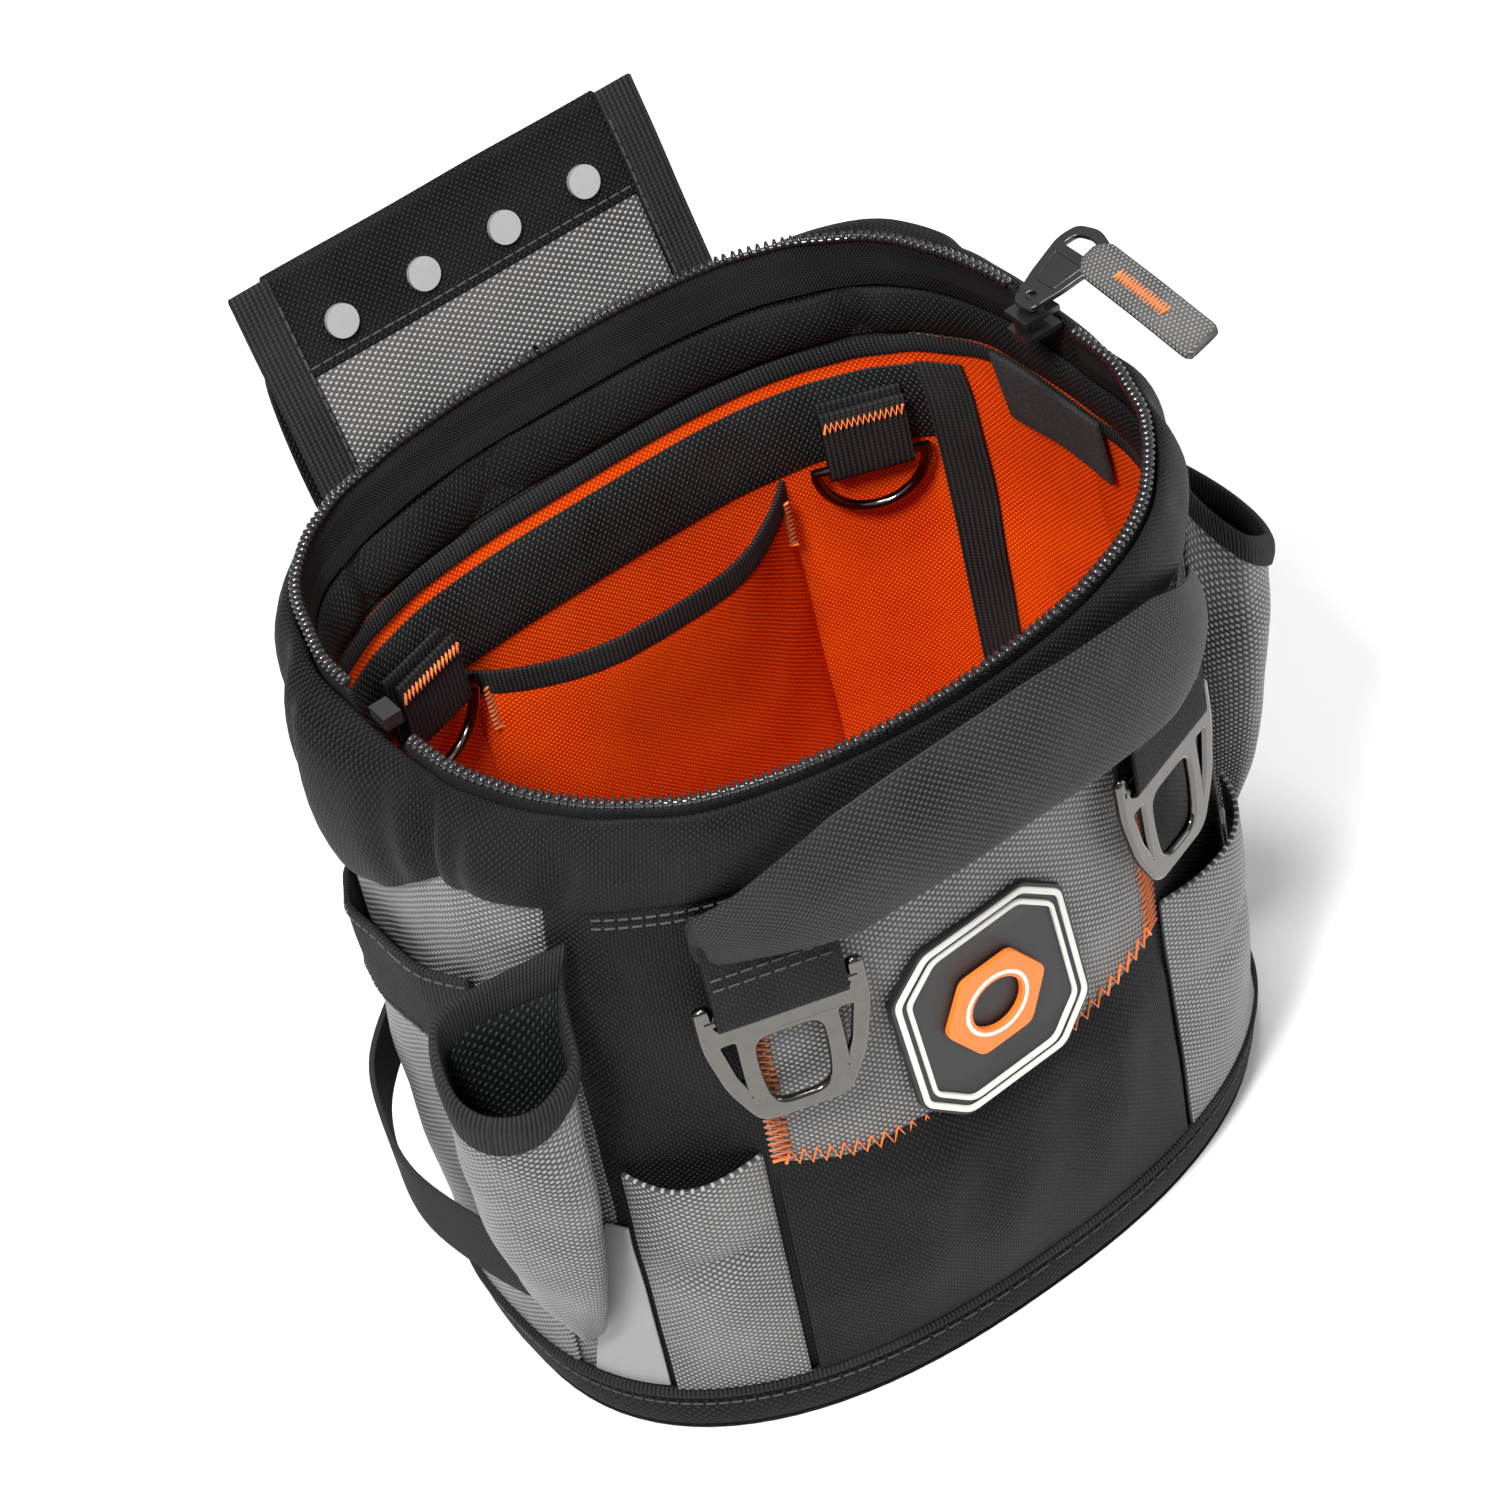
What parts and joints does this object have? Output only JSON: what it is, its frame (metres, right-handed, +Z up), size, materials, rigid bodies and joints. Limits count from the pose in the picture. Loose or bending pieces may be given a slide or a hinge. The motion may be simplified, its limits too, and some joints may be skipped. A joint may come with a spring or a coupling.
{
  "type": "tool bucket organizer",
  "caption": "Soft belt-hung tool pouch with an oval zip-topped mouth, lined compartment, outer pockets, tool sleeves, a front handle, hanging rings and a riveted belt flap.",
  "frame": {"origin": "centre of the base's underside, on the surface it stands on", "axes": "+X to the bag's own right seen from the front, -Y to the front with the handle and badge, +Y to the belt flap, +Z up"},
  "size_m": [0.2752, 0.2311, 0.2702],
  "materials": {
    "black_fabric": "coarse matt polyester weave",
    "base_cloth": "heavy coated cloth, matt",
    "board": "plain stiffener board",
    "orange_lining": "fine oxford weave, slightly sheened",
    "grey_nylon": "coarse ballistic basket weave",
    "black_webbing": "ribbed webbing, matt",
    "nickel": "dark polished nickel",
    "rivet_steel": "satin caps",
    "accent_vinyl": "smooth light grey coated cloth",
    "zipper_plastic": "moulded teeth, glossy",
    "black_metal": "black painted die casting",
    "grey_webbing": "ribbed webbing",
    "badge_rubber": "moulded soft rubber badge"
  },
  "bodies": {
    "bag": {"back_panel": "black_fabric", "base_panel": "base_cloth", "base_piping": "base_cloth", "base_stiffener": "board", "boot_band": "base_cloth", "collar": "black_fabric", "collar_facing": "black_fabric", "corner_accent_left": "accent_vinyl", "corner_accent_right": "accent_vinyl", "corner_patch": "black_webbing", "emblem_patch": "badge_rubber", "flap_anchor": "black_webbing", "front_panel": "black_fabric", "front_patch_panel": "grey_nylon", "front_pocket_center": "black_fabric", "front_pocket_left": "grey_nylon", "front_pocket_right": "grey_nylon", "hammer_loop": "black_webbing", "inner_tab_left": "black_webbing", "inner_tab_right": "black_webbing", "lining": "orange_lining", "lining_binding": "black_webbing", "organizer_band": "black_webbing", "phone_pocket": "orange_lining", "phone_pocket_binding": "black_webbing", "ring_tab_left": "black_webbing", "ring_tab_right": "black_webbing", "seam_tape_left": "black_webbing", "seam_tape_right": "black_webbing", "side_binding_left": "black_webbing", "side_binding_right": "black_webbing", "side_panel_left": "grey_nylon", "side_panel_right": "grey_nylon", "side_pocket_left": "grey_nylon", "side_pocket_right": "grey_nylon", "sleeve_binding_left": "black_webbing", "sleeve_binding_right": "black_webbing", "sleeve_left": "grey_nylon", "sleeve_right": "grey_nylon", "zipper_end_stop": "zipper_plastic", "zipper_tape_front": "black_webbing", "zipper_tape_rear": "black_webbing", "zipper_teeth_front": "zipper_plastic", "zipper_teeth_rear": "zipper_plastic"},
    "zipper_slider": {"zipper_slider": "black_metal"},
    "pull_tab": {"pull_tab": "black_metal"},
    "pull_loop": {"pull_loop": "grey_webbing"},
    "belt_flap": {"flap_back_layer": "black_fabric", "flap_edge_left": "black_webbing", "flap_edge_right": "black_webbing", "flap_face_panel": "grey_nylon", "flap_top_band": "black_fabric", "belt_rivets": "rivet_steel"},
    "front_handle": {"front_handle": "black_fabric"},
    "v_ring_left": {"v_ring_left": "nickel"},
    "v_ring_right": {"v_ring_right": "nickel"},
    "inner_ring_left": {"inner_ring_left": "nickel"},
    "inner_ring_right": {"inner_ring_right": "nickel"}
  },
  "joints": [
    {"name": "zipper_slide", "type": "slide", "parent": "bag", "child": "zipper_slider", "axis": [-1, 0, 0], "range_m": [0, 0.185]},
    {"name": "zipper_pull", "type": "hinge", "parent": "zipper_slider", "child": "pull_tab", "pos_m": [0.0975, 0, 0.239], "axis": [0, 1, 0], "range_deg": [-120, 0]},
    {"name": "pull_loop_swing", "type": "hinge", "parent": "pull_tab", "child": "pull_loop", "pos_m": [0.11528, -0.0045, 0.2441], "axis": [0.9613, 0, 0.2756], "range_deg": [-90, 0]},
    {"name": "belt_flap_fold", "type": "hinge", "parent": "bag", "child": "belt_flap", "pos_m": [0, 0.082, 0.187], "axis": [1, 0, 0], "range_deg": [-95, 0]},
    {"name": "front_handle_swing", "type": "hinge", "parent": "bag", "child": "front_handle", "pos_m": [0, -0.075, 0.188], "axis": [1, 0, 0], "range_deg": [-4, 14]},
    {"name": "v_ring_left_swing", "type": "hinge", "parent": "bag", "child": "v_ring_left", "pos_m": [-0.0598, -0.08306, 0.164], "axis": [0.9432, -0.3323, 0], "range_deg": [-75, 0]},
    {"name": "v_ring_right_swing", "type": "hinge", "parent": "bag", "child": "v_ring_right", "pos_m": [0.0598, -0.08306, 0.164], "axis": [0.9432, 0.3323, 0], "range_deg": [-75, 0]},
    {"name": "inner_ring_left_swing", "type": "hinge", "parent": "bag", "child": "inner_ring_left", "pos_m": [-0.06574, 0.06052, 0.168], "axis": [0.9543, 0.2989, 0], "range_deg": [-80, 0]},
    {"name": "inner_ring_right_swing", "type": "hinge", "parent": "bag", "child": "inner_ring_right", "pos_m": [0.07532, 0.05683, 0.168], "axis": [0.905, -0.4254, 0], "range_deg": [-80, 0]}
  ]
}
